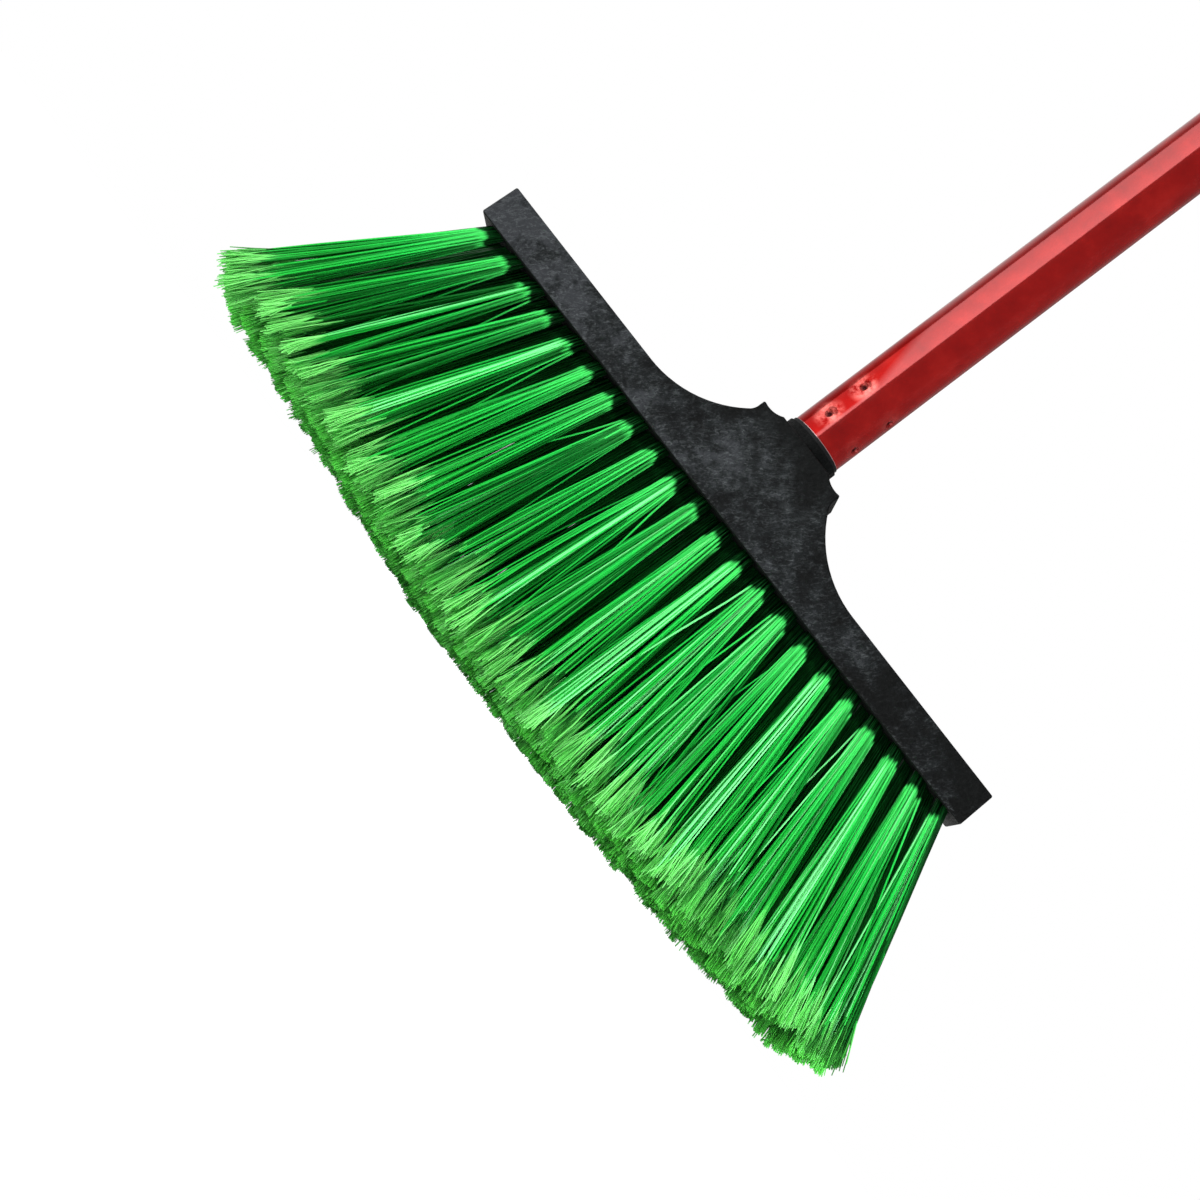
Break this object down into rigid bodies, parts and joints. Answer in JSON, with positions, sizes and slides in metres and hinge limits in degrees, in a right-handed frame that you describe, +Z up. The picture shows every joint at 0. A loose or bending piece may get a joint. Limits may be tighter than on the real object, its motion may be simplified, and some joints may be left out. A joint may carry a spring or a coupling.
{
  "type": "broom",
  "caption": "Upright floor broom: moulded head with a flared neck, fanned rows of flagged bristle tufts and a coated tube handle that screws into the head, with a hanging hole at its top.",
  "frame": {"origin": "middle of the bristle tips, on the floor that the broom stands on", "axes": "+Z up the handle, X along the head, Y through the head's depth with the pictured face towards -Y"},
  "size_m": [0.3334, 0.0578, 1.3726],
  "materials": {
    "head_plastic": "moulded, grained, scuffed",
    "bristle_fibre": "extruded filament, flagged ends",
    "anchor_steel": "galvanised flat wire",
    "ferrule_plastic": "moulded",
    "handle_coating": "gloss coated steel tube",
    "cap_plastic": "moulded"
  },
  "bodies": {
    "head": {"head_block": "head_plastic", "tuft_anchors": "anchor_steel", "tuft_column_01": "bristle_fibre", "tuft_column_02": "bristle_fibre", "tuft_column_03": "bristle_fibre", "tuft_column_04": "bristle_fibre", "tuft_column_05": "bristle_fibre", "tuft_column_06": "bristle_fibre", "tuft_column_07": "bristle_fibre", "tuft_column_08": "bristle_fibre", "tuft_column_09": "bristle_fibre", "tuft_column_10": "bristle_fibre", "tuft_column_11": "bristle_fibre", "tuft_column_12": "bristle_fibre", "tuft_column_13": "bristle_fibre", "tuft_column_14": "bristle_fibre", "tuft_column_15": "bristle_fibre", "tuft_column_16": "bristle_fibre", "tuft_column_17": "bristle_fibre", "tuft_column_18": "bristle_fibre", "tuft_column_19": "bristle_fibre", "tuft_column_20": "bristle_fibre", "tuft_column_21": "bristle_fibre", "tuft_column_22": "bristle_fibre"},
    "handle": {"handle_tube": "handle_coating", "threaded_ferrule": "ferrule_plastic", "hang_cap": "cap_plastic"}
  },
  "joints": [
    {"name": "handle_unscrew", "type": "hinge", "parent": "head", "child": "handle", "pos_m": [0, 0, 0.1388], "axis": [0, 0, 1], "range_deg": [0, 1710]}
  ]
}
